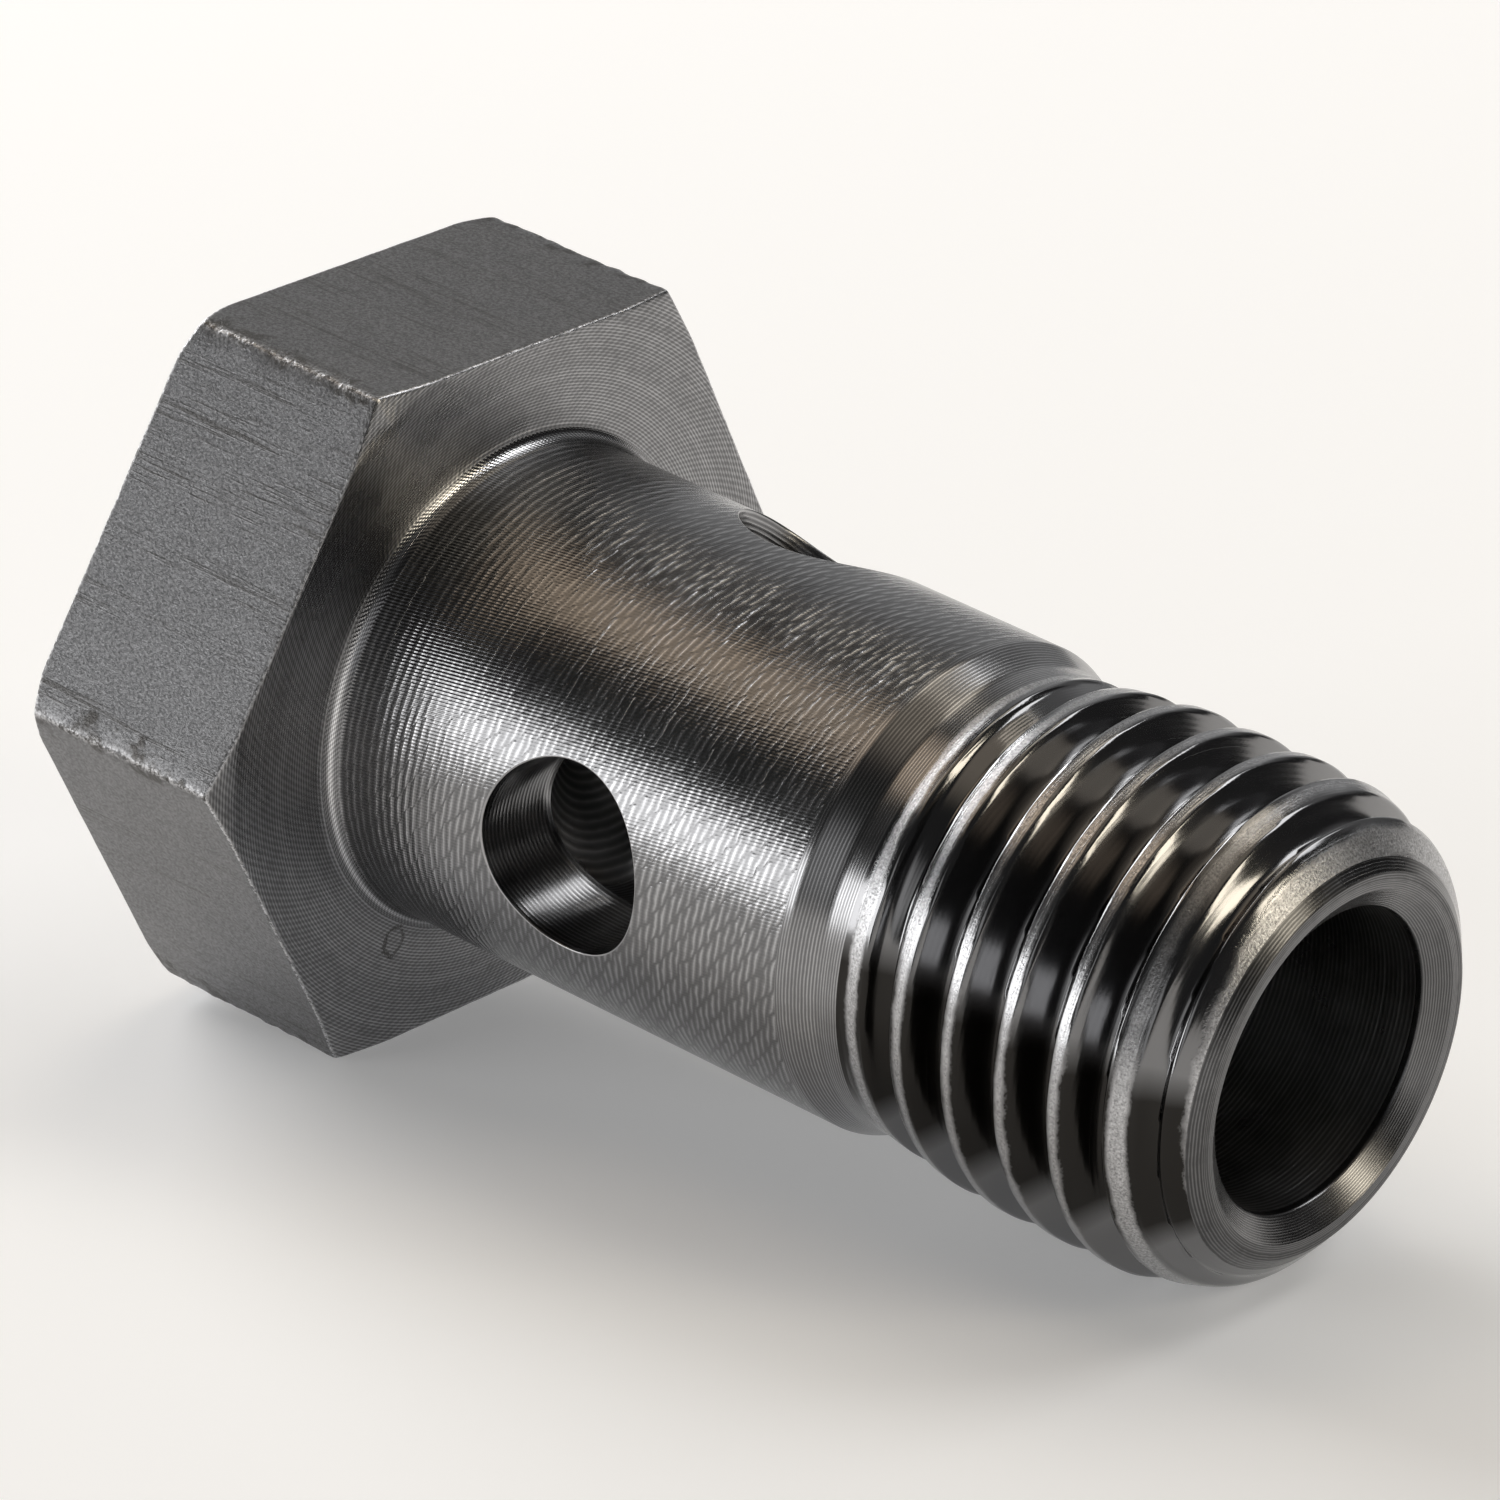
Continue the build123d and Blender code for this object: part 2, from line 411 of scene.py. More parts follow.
def head_rings(shape, angles):
    """Rings from the top of the head to its seat: radius, station, finish, nearness to an edge."""
    hexagon = hexagon_radius(angles, shape.flat)
    crown = shape.flat + CROWN_PAST_FLATS
    seat = shape.flat + SEAT_PAST_FLATS
    inner = shape.shank + SEAT_FILLET
    close = (0.05, 0.1, 0.17)
    crown_side = np.array([-0.78, -0.66, -0.56, -0.46, -0.36, -0.26, -0.17, -0.1, -0.05, 0, *close])
    seat_side = np.array([-0.17, -0.1, -0.05, 0, *close, 0.26, 0.38, 0.52, 0.66, 0.78, 0.9])
    rows = len(crown_side) + FLAT_ROWS + len(seat_side)
    radius = np.zeros((rows, len(angles)))
    station = np.zeros((rows, len(angles)))
    near = np.zeros((rows, len(angles)))
    for column, reach in enumerate(hexagon):
        line = np.array([
            (0, -shape.head),
            (min(crown, reach), -shape.head),
            (reach, -shape.head + max(reach - crown, 0) * CROWN_CHAMFER),
            (reach, -max(reach - seat, 0) * SEAT_CHAMFER),
            (min(seat, reach), 0),
            (inner, 0),
        ])
        distance = np.concatenate([[0], np.cumsum(np.hypot(*np.diff(line, axis=0).T))])
        top, bottom = distance[2], distance[3]
        between = np.linspace(top + crown_side[-1], bottom + seat_side[0], FLAT_ROWS + 2)[1:-1]
        samples = np.concatenate([top + crown_side, between, bottom + seat_side])
        radius[:, column], station[:, column] = softened(line, EDGE_SOFTNESS, samples).T
        from_edge = np.minimum(np.abs(samples - top), np.abs(samples - bottom))
        near[:, column] = np.exp(-(from_edge / EDGE_REACH) ** 2)

    # Nicks along the edges, and uneven corners between the flats
    sector = math.radians(60)
    from_corner = np.abs(angles % sector - sector / 2) * shape.flat / math.cos(sector / 2)
    corner_number = np.floor(angles / sector)
    at_corner = np.exp(-(from_corner / CORNER_REACH) ** 2)
    crown_edge = list(crown_side).index(0)
    seat_edge = rows - len(seat_side) + list(seat_side).index(0) + 1
    # The nearness to an edge also places the painted glints of the finishes
    near[crown_edge:seat_edge] = np.maximum(near[crown_edge:seat_edge], at_corner * 0.6)
    for row in range(rows):
        rough = (ragged(station[row], 5, 0.35)
                 + 0.7 * ragged(station[row] + 40 * corner_number, 6, 0.17))
        radius[row] -= at_corner * CORNER_WEAR * (1 + rough)
        chipped = (ragged(angles * 9, 7 + (row > rows / 2), 0.3)
                   + 0.6 * ragged(angles * 9, 9, 0.11))
        inward = 1 if row < rows / 2 else -1
        station[row] += inward * near[row] * EDGE_WEAR * (1 + chipped)
    finish = [TURNED_SEAT] * rows
    finish[crown_edge:seat_edge] = [BLASTED] * (seat_edge - crown_edge)
    crown_rings = [(r, -shape.head, TURNED_SEAT, 0) for r in CROWN_RINGS]
    seat_rings = [(r, 0, TURNED_SEAT, 0) for r in SEAT_RINGS]
    return crown_rings + list(zip(radius, station, finish, near)) + seat_rings


def shank_rings(shape):
    """Rings from the seat's fillet to the start of the thread."""
    fillet = [(shape.shank + SEAT_FILLET * (1 - math.sin(a)), SEAT_FILLET * (1 - math.cos(a)))
              for a in np.radians(np.linspace(0, 90, 9))]
    finish = [TURNED_SEAT] * 3 + [FILLETED] * 4 + [TURNED_SHANK] * 2
    rings = [(r, s, surface) for (r, s), surface in zip(fillet, finish)]
    stations = np.concatenate([
        np.linspace(SEAT_FILLET, shape.patch_start, WALL_ROWS)[1:-1],
        np.linspace(shape.patch_start, shape.patch_end, PATCH_ROWS + 1),
        np.linspace(shape.patch_end, shape.shank_end - 0.2, WALL_ROWS)[1:]])
    rings += [(shape.shank, s, TURNED_SHANK) for s in stations]
    line = rounded_line(
        [(shape.shank, shape.shank_end - 0.15), (shape.shank, shape.shank_end),
         (shape.relief, shape.relief_start),
         (shape.relief, shape.relief_end - RELIEF_STOPS_BEFORE)],
        [0.25, 0.5])
    rings += [(r, s, PLAIN_RELIEF) for r, s in divided(line, 0.18)]
    return rings


def end_rings(shape, start):
    """Rings from the end chamfer through the countersink and the bore to the drill point."""
    first = shape.end_face + (shape.end - start) * END_CHAMFER
    chamfer = rounded_line(
        [(first, start), (shape.end_face, shape.end),
         (shape.end_face - END_LAND_WIDTH / 2, shape.end)],
        [0.12])
    bore_end = shape.end - COUNTERSINK_WIDTH / COUNTERSINK_SLOPE
    top = bore_end - COUNTERSINK_RUNS_ON
    sink = rounded_line(
        [(shape.countersink + END_LAND_WIDTH / 2, shape.end), (shape.countersink, shape.end),
         (shape.bore, bore_end), (shape.bore, top)],
        [0.06, 0.12])
    rings = [(r, s, END_CHAMFERED) for r, s in divided(chamfer, 0.15)[1:]]
    rings += [(r, s, COUNTERSUNK) for r, s in divided(sink, 0.15)[1:-1]]
    stations = np.concatenate([
        np.linspace(top, shape.patch_end, WALL_ROWS)[:-1],
        np.linspace(shape.patch_end, shape.patch_start, PATCH_ROWS + 1)])
    rings += [(shape.bore, s, BORED) for s in stations]
    tip = shape.bore_floor - shape.bore / DRILL_POINT
    rings += [(r, shape.bore_floor - (shape.bore - r) / DRILL_POINT, BORED)
              for r in (shape.bore, 3.0, 2.0, 1.0)]
    return rings, tip


def patch_loop(columns, start, end):
    """Rows and columns of the grid points round a patch, as one loop."""
    lower = [(start, c) for c in columns[:-1]]
    ahead = [(row, columns[-1]) for row in range(start, end)]
    upper = [(end, c) for c in columns[:0:-1]]
    back = [(row, columns[0]) for row in range(end, start, -1)]
    return lower + ahead + upper + back


def closed_places(turn, station):
    """Texture places of a loop on a wall round the axis, with its first point repeated."""
    places = [(t / (2 * math.pi), s / TEXTURE_LENGTH) for t, s in zip(turn, station)]
    return places + places[:1]


def add_cross_hole(maker, shape, turn, outer, inner, stations, offsets):
    """Fills the patches left in the shank and the bore with a drilled hole."""
    middle = math.radians(turn)
    along = stations - shape.hole_station
    bearing = np.arctan2(shape.shank * offsets, along)
    across_hole, along_hole = np.sin(bearing), np.cos(bearing)
    across = across_hole * shape.hole

    def loop_on_wall(wall, reach, share, sink=0, facing=1):
        """A loop between the patch's rim and the hole, on the shank or in the bore."""
        at_hole = np.arcsin(across_hole * reach / wall)
        at_turn = middle + offsets + (at_hole - offsets) * share
        at_station = stations + (shape.hole_station + along_hole * reach - stations) * share
        out = np.stack([np.cos(at_turn), np.sin(at_turn), np.zeros_like(at_turn)], 1)
        points = out * wall
        points[:, 2] = at_station
        points[:, 0] -= math.cos(middle) * sink
        points[:, 1] -= math.sin(middle) * sink
        normals = None if sink else out * facing
        return maker.add_points(points, normals), closed_places(at_turn, at_station)

    def loop_in_hole(height):
        """A loop of the drilled wall at a height along the hole's own axis."""
        points = np.stack([
            math.cos(middle) * height - math.sin(middle) * across,
            math.sin(middle) * height + math.cos(middle) * across,
            shape.hole_station + along_hole * shape.hole], 1)
        return maker.add_points(points)

    first = (outer, closed_places(middle + offsets, stations))
    for share in (0.3, 0.55, 0.75, 0.9, 1.0):
        second = loop_on_wall(shape.shank, shape.hole + HOLE_EDGE, share)
        maker.join_loops(first[0], second[0], TURNED_SHANK, first[1], second[1])
        first = second

    count = len(outer)
    top = np.sqrt(shape.shank**2 - across**2)
    bottom = np.sqrt(shape.bore**2 - across**2)
    walls = [first[0]]
    for bend in np.radians((30, 60)):
        reach = shape.hole + HOLE_EDGE * (1 - math.sin(bend))
        walls.append(loop_on_wall(shape.shank, reach, 1.0, HOLE_EDGE * (1 - math.cos(bend)))[0])
    for share in np.linspace(0, 1, 9):
        walls.append(loop_in_hole(top - HOLE_EDGE + (bottom - top + HOLE_EDGE * 1.5) * share))
    for index, (first_wall, second_wall) in enumerate(zip(walls, walls[1:])):
        edges = [[(k / count, (index + step) / TEXTURE_LENGTH) for k in range(count + 1)]
                 for step in (0, 1)]
        maker.join_loops(first_wall, second_wall, CROSS_DRILLED, *edges)

    first = (walls[-1], None)
    for share in (1.0, 0.7, 0.35):
        second = loop_on_wall(shape.bore, shape.hole + HOLE_EDGE / 2, share, facing=-1)
        maker.join_loops(first[0], second[0], BORED, first[1] or second[1], second[1])
        first = second
    maker.join_loops(first[0], inner, BORED, first[1], closed_places(middle + offsets, stations))


def bolt_mesh(shape):
    """The closed mesh of the bolt, laid where the frame has it."""
    angles = column_angles()
    maker = MeshMaker(angles)
    rows = head_rings(shape, angles) + shank_rings(shape)
    thread_start = shape.relief_end - THREAD_STARTS_BEFORE
    thread_end = shape.end - THREAD_STOPS_BEFORE
    count = round((thread_end - thread_start) / THREAD_ROW)
    for station in np.linspace(thread_start, thread_end, count + 1):
        rows.append((shape.thread_radius(station, angles), station, ROLLED_THREAD))
    tail, tip = end_rings(shape, thread_end)
    rows += tail
    rings = []
    for radius, station, finish, *near in rows:
        normals = None
        if finish == ROLLED_THREAD:
            normals = shape.thread_normals(station, angles)
        rings.append(maker.add_ring(radius, station, near[0] if near else 0, normals))
    mean = np.array([(np.mean(row[0]), np.mean(row[1])) for row in rows])
    length = np.concatenate([[0], np.cumsum(np.hypot(*np.diff(mean, axis=0).T))]) / TEXTURE_LENGTH

    step = 2 * math.pi / PLAIN_COLUMNS
    holes = []
    every = np.ones(len(angles), bool)
    kept = every.copy()
    for turn in CROSS_HOLE_TURNS:
        offset = (angles - math.radians(turn) + math.pi) % (2 * math.pi) - math.pi
        inside = np.flatnonzero(np.abs(offset) < step * (PATCH_HALF_TURN + 0.1))
        inside = inside[np.argsort(offset[inside])]
        kept[inside[:-1]] = False
        holes.append((turn, list(inside), offset))

    def patch_rows(finish):
        """First and last row of the patches in one of the walls."""
        found = [i for i, row in enumerate(rows) if row[2] == finish and np.ndim(row[1]) == 0
                 and shape.patch_start - 1e-6 <= row[1] <= shape.patch_end + 1e-6]
        return found[0], found[-1]

    outer_first, outer_last = patch_rows(TURNED_SHANK)
    inner_first, inner_last = patch_rows(BORED)
    for index in range(len(rows) - 1):
        opened = outer_first <= index < outer_last or inner_first <= index < inner_last
        maker.join_rings(rings[index], rings[index + 1], rows[index + 1][2],
                         (length[index], length[index + 1]), kept if opened else every)
    for turn, inside, offset in holes:
        loop = patch_loop(inside, outer_first, outer_last)
        stations = np.array([float(rows[row][1]) for row, _ in loop])
        offsets = np.array([offset[column] for _, column in loop])
        outer = np.array([rings[row][column] for row, column in loop])
        inner = np.array([rings[inner_last - (row - outer_first)][column] for row, column in loop])
        add_cross_hole(maker, shape, turn, outer, inner, stations, offsets)
    crown = maker.add_points([(0, 0, -shape.head)])[0]
    maker.close(rings[0], crown, TURNED_SEAT, length[0], True)
    drill_tip = maker.add_points([(0, 0, tip)])[0]
    maker.close(rings[-1], drill_tip, BORED, 0.05, False)
    return maker


def add_object(name, data):
    """Puts a new object with the given mesh, light or camera into the scene."""
    made = bpy.data.objects.new(name, data)
    bpy.context.scene.collection.objects.link(made)
    return made


def make_object(name, maker, materials):
    """One Blender object from the gathered mesh."""
    points = np.concatenate(maker.points)
    used = np.unique(np.concatenate([np.array(face) for face in maker.faces]))
    number = np.zeros(len(points), int)
    number[used] = np.arange(len(used))
    faces = [[int(number[corner]) for corner in face] for face in maker.faces]
    mesh = bpy.data.meshes.new(name)
    laid_points = np.array(SEAT_CENTRE) + points[used] @ LAID_DOWN * MM
    mesh.from_pydata(laid_points.tolist(), [], faces)
    for material in materials:
        mesh.materials.append(material)
    mesh.polygons.foreach_set("material_index", maker.finishes)
    mesh.polygons.foreach_set("use_smooth", [True] * len(mesh.polygons))
    layer = mesh.uv_layers.new(name="turned")
    layer.data.foreach_set("uv", np.array(maker.places, np.float32).ravel())
    place = mesh.attributes.new("bolt_place", "FLOAT_VECTOR", "POINT")
    place.data.foreach_set("vector", points[used].astype(np.float32).ravel())
    edge = mesh.attributes.new("edge_near", "FLOAT", "POINT")
    edge.data.foreach_set("value", np.concatenate(maker.edges)[used].astype(np.float32))
    mesh.update()
    normals = np.zeros(len(used) * 3, np.float32)
    mesh.vertices.foreach_get("normal", normals)
    normals = normals.reshape(-1, 3)
    for point, normal in maker.given_normals.items():
        normals[number[point]] = normal @ LAID_DOWN
    mesh.normals_split_custom_set_from_vertices(normals.tolist())
    return add_object(name, mesh)


# Finishes

STROKE_DRIFT = 1.1  # how far the strokes of the turning marks stray from their row
DRAWN_STRETCH = 0.045  # length of the drawn lines on the head: smaller is longer
CORNER_TO_CORNER = 10.3  # width of one flat of the head, in millimetres
# Brightness of the painted glints along the head's edges, against the steel
EDGE_GLINT_BRIGHTNESS = 2.4
# Middle of the side of the thread that gets painted shade
PAINTED_SHADE_TURN = math.radians(100)  # from the top flat, round the bolt


def node(tree, kind, values=None, **settings):
    """Adds a node; values fills its inputs with numbers, or with the outputs of other nodes."""
    made = tree.nodes.new(kind)
    for key, value in settings.items():
        setattr(made, key, value)
    for key, value in (values or {}).items():
        value = getattr(value, "socket", value)
        if isinstance(value, bpy.types.NodeSocket):
            tree.links.new(value, made.inputs[key])
        else:
            made.inputs[key].default_value = value
    return made


def calc(tree, operation, *values):
    """Adds a math node and returns its result."""
    made = node(tree, "ShaderNodeMath", dict(enumerate(values)), operation=operation)
    return Value(made.outputs[0])


def vector_calc(tree, operation, values, output="Vector"):
    """Adds a vector math node and returns one of its results."""
    return Value(node(tree, "ShaderNodeVectorMath", values, operation=operation).outputs[output])


class Value:
    """The output of a node, so that sums in a shader can be written as formulas."""

    def __init__(self, socket):
        self.socket = socket
        self.tree = socket.id_data

    def math(self, operation, *others):
        """The result of a math node whose first input is this value."""
        return calc(self.tree, operation, self, *others)

    def __add__(self, other):
        """This value plus another."""
        return self.math("ADD", other)

    def __sub__(self, other):
        """This value minus another."""
        return self.math("SUBTRACT", other)

    def __rsub__(self, number):
        """A number minus this value."""
        return calc(self.tree, "SUBTRACT", number, self)

    def __mul__(self, other):
        """This value times another."""
        return self.math("MULTIPLY", other)

    def __truediv__(self, other):
        """This value divided by another."""
        return self.math("DIVIDE", other)

    def span(self, low, high, to_low=0, to_high=1, shape="LINEAR"):
        """This value with one range mapped to another, and held at its ends."""
        made = node(self.tree, "ShaderNodeMapRange", {
            "Value": self, "From Min": low, "From Max": high, "To Min": to_low, "To Max": to_high},
            clamp=True, interpolation_type=shape)
        return Value(made.outputs[0])

    def blend(self, first, second):
        """A colour between two others, with this value as the share of the second."""
        made = node(self.tree, "ShaderNodeMix", {0: self, 6: first, 7: second}, data_type="RGBA")
        return Value(made.outputs[2])

    def noise(self, scale, detail, roughness):
        """A noise texture at the places that this value gives."""
        made = node(self.tree, "ShaderNodeTexNoise", {
            "Vector": self, "Scale": scale, "Detail": detail, "Roughness": roughness})
        return Value(made.outputs["Fac"])


def start_group(name, inputs):
    """Starts a shader node group; an input without a default is a vector."""
    tree = bpy.data.node_groups.new(name, "ShaderNodeTree")
    for label, default in inputs.items():
        kind = "NodeSocketVector" if default is None else "NodeSocketFloat"
        socket = tree.interface.new_socket(label, in_out="INPUT", socket_type=kind)
        if default is not None:
            socket.default_value = default
    given = tree.nodes.new("NodeGroupInput").outputs
    return tree, {label: Value(given[label]) for label in inputs}


def end_group(tree, results):
    """Gives a shader node group its outputs."""
    for label, value in results.items():
        kind = "NodeSocketVector" if value.socket.type == "VECTOR" else "NodeSocketFloat"
        tree.interface.new_socket(label, in_out="OUTPUT", socket_type=kind)
    node(tree, "NodeGroupOutput", results)
    return tree


def place_group():
    """Where a point is on the bolt: distances in millimetres, and its turn from 0 to 1."""
    tree, _ = start_group("Bolt place", {})
    place = node(tree, "ShaderNodeAttribute", attribute_name="bolt_place").outputs["Vector"]
    x, y, station = map(Value, node(tree, "ShaderNodeSeparateXYZ", {0: place}).outputs)
    across = node(tree, "ShaderNodeCombineXYZ", {"X": x, "Y": y}).outputs[0]
    radius = vector_calc(tree, "LENGTH", {0: across}, "Value")
    edge = node(tree, "ShaderNodeAttribute", attribute_name="edge_near").outputs["Fac"]
    return end_group(tree, {
        "Position": Value(place), "Station": station, "Radius": radius,
        "Turn": y.math("ARCTAN2", x) / (2 * math.pi), "Edge": Value(edge),
        "Slant": station - radius})


def marks_group():
    """Feed marks of a turning tool: scallops of a given pitch, broken into strokes (braid) and
    ticked by the tool's chatter."""
    tree, given = start_group("Turning marks", {
        "Along": 0, "Turn": 0, "Position": None, "Pitch": 0.2, "Waver": 0.02, "Unevenness": 0.5,
        "Braid count": 40.3, "Braid": 0, "Chatter count": 370.4, "Chatter": 0})
    position, turn, pitch = given["Position"], given["Turn"], given["Pitch"]
    count = given["Along"] / pitch - turn

    def wave(waves_per_turn):
        """A wave along the spiral of the tool's path."""
        return waves_per_turn * turn + waves_per_turn.math("FRACT") * count

    drift = position.noise(1.6, 2, 0.6) - 0.5
    stroke = (wave(given["Braid count"]) + drift * STROKE_DRIFT).math("FRACT")
    from_middle = (stroke * 2 - 1).math("ABSOLUTE")
    fade = 1 - from_middle.math("POWER", 5) * (given["Braid"] * 2).math("MINIMUM", 1)
    swayed = count + drift * given["Waver"] / pitch + (stroke - 0.5) * given["Braid"]
    scallop = (swayed.math("FRACT") * 2 - 1).math("ABSOLUTE").math("POWER", 1.2) * fade

    each = node(tree, "ShaderNodeTexWhiteNoise", {"W": swayed.math("FLOOR")}, noise_dimensions="1D")
    uneven = (position.noise(3.2, 2, 0.65) - 0.5) * 2.4
    strength = (uneven + (Value(each.outputs["Value"]) - 0.5)) * given["Unevenness"] + 1
    chatter = (wave(given["Chatter count"]) * (2 * math.pi)).math("SINE") * given["Chatter"]
    return end_group(tree, {
        "Height": scallop * strength + chatter,
        "Crest": scallop.math("POWER", 1.6) * strength + chatter * 0.4})


def grain_group():
    """Fine uneven grain: pits and bright grains of a drawn or worn surface, and broad clouds."""
    tree, given = start_group("Steel grain", {
        "Position": None, "Grain size": 0.12, "Cloud size": 2.5})
    fine = given["Position"].noise(calc(tree, "DIVIDE", 1, given["Grain size"]), 2, 0.75)
    clouds = given["Position"].noise(calc(tree, "DIVIDE", 1, given["Cloud size"]), 3, 0.6)
    return end_group(tree, {"Height": fine, "Grains": fine.span(0.35, 0.65), "Clouds": clouds})


class Finish:
    """One steel material with its shader, and the shared groups that it uses."""

    def __init__(self, name, groups, roughness, anisotropy=0.0):
        self.material = bpy.data.materials.new(name)
        self.material.use_nodes = True
        self.tree = self.material.node_tree
        self.tree.nodes.clear()
        self.groups = groups
        self.shader = node(self.tree, "ShaderNodeBsdfPrincipled", {
            "Metallic": 1.0, "Roughness": roughness, "Anisotropic": anisotropy,
            "Anisotropic Rotation": 0.25})
        if anisotropy:
            tangent = node(self.tree, "ShaderNodeTangent", direction_type="UV_MAP", uv_map="turned")
            self.tree.links.new(tangent.outputs[0], self.shader.inputs["Tangent"])
        node(self.tree, "ShaderNodeOutputMaterial", {0: self.shader.outputs[0]})
        self.place = self.group("Bolt place")

    def group(self, name, values=None):
        """Adds a shared group to this material and returns its outputs."""
        made = node(self.tree, "ShaderNodeGroup", values, node_tree=self.groups[name])
        return {socket.name: Value(socket) for socket in made.outputs}

    def grain(self, position, grain_size, cloud_size):
        """Adds the group of the steel's grain."""
        return self.group("Steel grain", {
            "Position": position, "Grain size": grain_size, "Cloud size": cloud_size})

    def marks(self, along, values):
        """Adds the group of the turning marks; along is the place output that they follow."""
        return self.group("Turning marks", {
            "Along": self.place[along], "Turn": self.place["Turn"],
            "Position": self.place["Position"], **values})

    def use(self, base, roughness, height, depth):
        """Links colour, roughness, where it isn't one number, and relief to the shader."""
        self.tree.links.new(base.socket, self.shader.inputs["Base Color"])
        if roughness is not None:
            self.tree.links.new(roughness.socket, self.shader.inputs["Roughness"])
        bump = node(self.tree, "ShaderNodeBump", {
            "Height": height, "Distance": depth, "Strength": 1.0})
        self.tree.links.new(bump.outputs[0], self.shader.inputs["Normal"])
        return self.material


def shade(colour, factor=1):
    """A colour made lighter or darker, as a node takes it."""
    return (*(min(c * factor, 1) for c in colour), 1)


def blasted_steel(groups, finish):
    """Grainy flats of the head, with drawn lines, painted glints along the edges and dark scuffed
    corners.
    """
    made = Finish("blasted_steel", groups, 0.5)
    place, position = made.place, made.place["Position"]
    grain = made.grain(position, 0.075, 1.6)
    base = grain["Grains"].blend(shade(finish.steel, 0.40), shade(finish.steel, 0.84))

    drawn = vector_calc(made.tree, "MULTIPLY", {0: position, 1: (1, 1, DRAWN_STRETCH)})
    lines = made.grain(drawn, 0.13, 1.2)
    worn = lines["Grains"].span(0.55, 1, 0, 0.6) * lines["Clouds"].span(0.45, 0.6)
    base = worn.blend(base, shade(finish.grime_and_shade))

    from_corner = ((place["Turn"] * 6).math("FRACT") - 0.5).math("ABSOLUTE") * CORNER_TO_CORNER
    scuffs = made.grain(position, 0.1, 0.7)
    torn = (from_corner + (scuffs["Clouds"] - 0.5) * 3.2).span(-0.1, 0.25, 0.85, 0)
    base = torn.blend(base, shade(finish.grime_and_shade))
    # Painted glints: bright specks of steel along the head's edges, standing in for the light they
    # catch
    bright = place["Edge"].span(0.3, 0.8) * scuffs["Grains"].span(0.3, 0.8)
    base = bright.blend(base, shade(finish.steel, EDGE_GLINT_BRIGHTNESS))
    rough = grain["Clouds"].span(0.3, 0.7, 0.38, 0.44)
    height = grain["Height"] + (torn + worn * 0.6) * (scuffs["Height"] * 1.6)
    return made.use(base, rough, height, 0.010 * MM * finish.mark_depth)


def rolled_thread(groups, finish, shape):
    """Polished flanks and roots, grainy bands along the crests, and painted shade on one side of
    the thread.
    """
    made = Finish("rolled_thread", groups, 0.14, 0.2)
    station, turn = made.place["Station"], made.place["Turn"]
    turns = (station - shape.first_crest) / shape.pitch - turn
    from_crest = (turns - turns.math("ROUND")).math("ABSOLUTE") * shape.pitch
    grain = made.grain(made.place["Position"], 0.06, 0.7)
    ragged_edge = (grain["Clouds"] - 0.5) * 0.22
    frayed_edge = (grain["Height"] - 0.5) * 0.16
    first = station.span(shape.first_crest - 0.4, shape.first_crest + 0.6, 1, 0)
    last = station.span(shape.end - 1.9, shape.end - 1.3)
    broad = (first * 0.05).math("MAXIMUM", last * 0.14)
    rolled = (from_crest + (ragged_edge + frayed_edge) - broad).span(0.05, 0.17, 1, 0)
    worn = rolled * first.math("MAXIMUM", last).span(0, 1, 0.5, 0.85)

    # Painted shade: flanks and roots are darkened towards the grime colour on one side of the bolt,
    # about 100 degrees round from the top flat
    painted_shade_side = (turn * (2 * math.pi) - PAINTED_SHADE_TURN).math("COSINE")
    flanks_and_painted_shade = painted_shade_side.span(0.9, 0.955).blend(shade(finish.steel, 0.72), shade(finish.grime_and_shade, 0.4))
    base = rolled.blend(flanks_and_painted_shade, shade(finish.steel, 0.95))
    base = (grain["Grains"] * worn).blend(base, shade(finish.steel, 2.5))
    rough = worn.span(0, 0.8, 0.14, 0.34) + (grain["Clouds"] - 0.5) * 0.08
    marks = made.marks("Station", {"Pitch": 0.07, "Waver": 0.03, "Unevenness": 0.8})
    height = (marks["Height"] * rolled.span(0, 1, 0.0004, 0.0016)
              + grain["Height"] * worn.span(0, 0.8, 0.0004, 0.011))
    return made.use(base, rough, height, MM * finish.mark_depth)


def turned_steel(name, groups, finish, along, pitch, depth, roughness, anisotropy=0.5, waver=0.03,
                 unevenness=0.35, braid=(40.3, 0), chatter=(370.4, 0), lightness=1, scar=None):
    """A surface left by a turning tool; pitch and depth of its marks are in millimetres.

    Braid and chatter are pairs of a count round the bolt and a strength. The strokes of the braid
    come up, and the chatter dies down, with the distance from the head.
    """
    made = Finish(name, groups, roughness, anisotropy)
    position, station = made.place["Position"], made.place["Station"]
    marks = made.marks(along, {
        "Pitch": pitch, "Waver": waver, "Unevenness": unevenness,
        "Braid count": braid[0], "Braid": station.span(1.5, 5, braid[1] * 0.3, braid[1]),
        "Chatter count": chatter[0], "Chatter": station.span(1.5, 5, chatter[1], chatter[1] * 0.3)})
    grain = made.grain(position, 0.05, 2.0)
    # Painted glints and shade: the crests of the tool marks are painted lighter and the hollows
    # between them darker
    base = marks["Crest"].blend(
        shade(finish.steel, 0.55 * lightness), shade(finish.steel, 1.5 * lightness))
    # Painted glints: bright specks of steel along the edges of the head's turned faces
    painted_glints = made.place["Edge"].span(0.4, 0.9) * grain["Grains"]
    base = painted_glints.blend(base, shade(finish.steel, EDGE_GLINT_BRIGHTNESS))
    rough = grain["Clouds"].span(0.3, 0.7, roughness * 0.85, roughness * 1.2)
    height = marks["Height"] * depth + grain["Height"] * (depth * 0.15)
    if scar:
        away = vector_calc(made.tree, "DISTANCE", {0: position, 1: scar}, "Value")
        reach = away + (grain["Clouds"] * 1.6 + grain["Height"] * 0.3)
        rim = (reach - 1.38).math("ABSOLUTE").span(0.02, 0.07, 0.85, 0)
        base = rim.blend(base, shade(finish.grime_and_shade))
        height = height + reach.span(1.34, 1.42, 0.012, 0)
    return made.use(base, rough, height, MM * finish.mark_depth)


